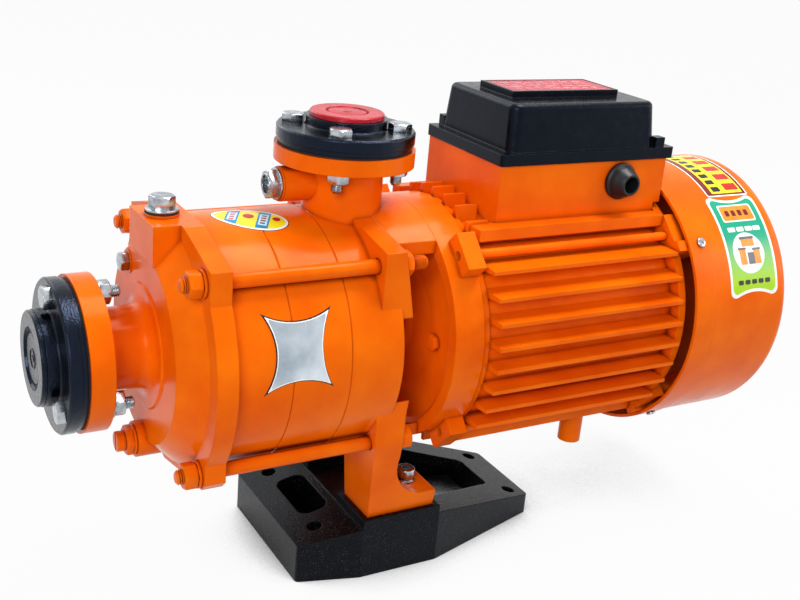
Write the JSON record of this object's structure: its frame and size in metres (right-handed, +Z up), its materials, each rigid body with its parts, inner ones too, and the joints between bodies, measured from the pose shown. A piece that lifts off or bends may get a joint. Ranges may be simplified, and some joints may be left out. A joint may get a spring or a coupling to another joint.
{
  "type": "multistage pump",
  "caption": "Horizontal close-coupled multistage centrifugal pump with ring-section casings, flanged suction and top discharge, finned electric motor, terminal box and foot plate.",
  "frame": {"origin": "floor level under the foot plate, below the shaft axis, midway between the two legs", "axes": "+X along the shaft from the suction flange to the fan cover, +Z up through the discharge flange, +Y to the side away from the cable inlet"},
  "size_m": [0.6792, 0.26, 0.4143],
  "materials": {
    "orange_enamel": "gloss enamel over casting",
    "black_enamel": "gloss black enamel over rough casting",
    "zinc_plate": "bright zinc plate",
    "black_plastic": "fine moulded grain",
    "red_plastic": "gloss",
    "black_rubber": "satin",
    "gasket_fibre": "matt fibre sheet",
    "bronze": "machined",
    "moulded_diffuser": "moulded",
    "ground_steel": "ground",
    "seal_face": "lapped carbon",
    "core_steel": "laminated",
    "copper_winding": "varnished wire",
    "bright_plate": "polished"
  },
  "bodies": {
    "pump_body": {"discharge_casing": "orange_enamel", "stage_casing_1": "orange_enamel", "stage_casing_2": "orange_enamel", "suction_cover": "orange_enamel", "side_port_washer": "orange_enamel", "casing_drain_plug": "orange_enamel", "tie_rods": "orange_enamel", "tie_rod_nuts": "orange_enamel", "tie_rod_washers": "orange_enamel", "motor_front_shield": "orange_enamel", "front_shield_bolts": "orange_enamel", "motor_frame": "orange_enamel", "motor_through_bolts": "orange_enamel", "motor_rear_shield": "orange_enamel", "fan_cover": "orange_enamel", "foot_plate": "black_enamel", "suction_companion_flange": "black_enamel", "discharge_companion_flange": "black_enamel", "foot_screws": "zinc_plate", "discharge_flange_bolts": "zinc_plate", "discharge_flange_nuts": "zinc_plate", "suction_flange_bolts": "zinc_plate", "suction_flange_nuts": "zinc_plate", "fan_cover_screws": "zinc_plate", "terminal_cover": "black_plastic", "terminal_block": "black_plastic", "run_capacitor": "black_plastic", "lid_label_plate": "red_plastic", "casing_seal_rings": "black_rubber", "cable_grommet": "black_rubber", "suction_gasket": "gasket_fibre", "discharge_gasket": "gasket_fibre", "priming_plug_washer": "gasket_fibre", "diffuser_1": "moulded_diffuser", "diffuser_2": "moulded_diffuser", "bearing_outer_rings": "ground_steel", "bearing_balls": "ground_steel", "seal_seat": "seal_face", "stator_core": "core_steel", "stator_windings": "copper_winding", "badge_plate": "bright_plate"},
    "rotor": {"shaft": "ground_steel", "impeller_1": "bronze", "impeller_2": "bronze", "impeller_3": "bronze", "impeller_spacers": "bronze", "impeller_key": "ground_steel", "impeller_lock_nut": "ground_steel", "seal_rotary_head": "seal_face", "seal_bellows": "ground_steel", "slinger_ring": "black_rubber", "rotor_core": "core_steel", "bearing_inner_rings": "ground_steel", "fan": "black_plastic"},
    "suction_port_plug_body": {"suction_port_plug": "black_enamel"},
    "discharge_port_plug_body": {"discharge_port_plug": "red_plastic"},
    "priming_plug_body": {"priming_plug": "zinc_plate"},
    "vent_plug_body": {"vent_plug": "zinc_plate"},
    "drain_plug_body": {"drain_plug": "orange_enamel"},
    "side_port_plug_body": {"side_port_plug": "zinc_plate"}
  },
  "joints": [
    {"name": "shaft_spin", "type": "hinge", "parent": "pump_body", "child": "rotor", "pos_m": [0, 0, 0.21], "axis": [1, 0, 0], "continuous": true},
    {"name": "suction_port_plug_unscrew", "type": "slide", "parent": "pump_body", "child": "suction_port_plug_body", "axis": [-1, 0, 0], "range_m": [0, 0.03]},
    {"name": "discharge_port_plug_unscrew", "type": "slide", "parent": "pump_body", "child": "discharge_port_plug_body", "axis": [0, 0, 1], "range_m": [0, 0.03]},
    {"name": "priming_plug_unscrew", "type": "slide", "parent": "pump_body", "child": "priming_plug_body", "axis": [0, 0, 1], "range_m": [0, 0.03]},
    {"name": "vent_plug_unscrew", "type": "slide", "parent": "pump_body", "child": "vent_plug_body", "axis": [-1, 0, 0], "range_m": [0, 0.02]},
    {"name": "drain_plug_unscrew", "type": "slide", "parent": "pump_body", "child": "drain_plug_body", "axis": [-1, 0, 0], "range_m": [0, 0.025]},
    {"name": "side_port_plug_unscrew", "type": "slide", "parent": "pump_body", "child": "side_port_plug_body", "axis": [-1, 0, 0], "range_m": [0, 0.025]}
  ]
}
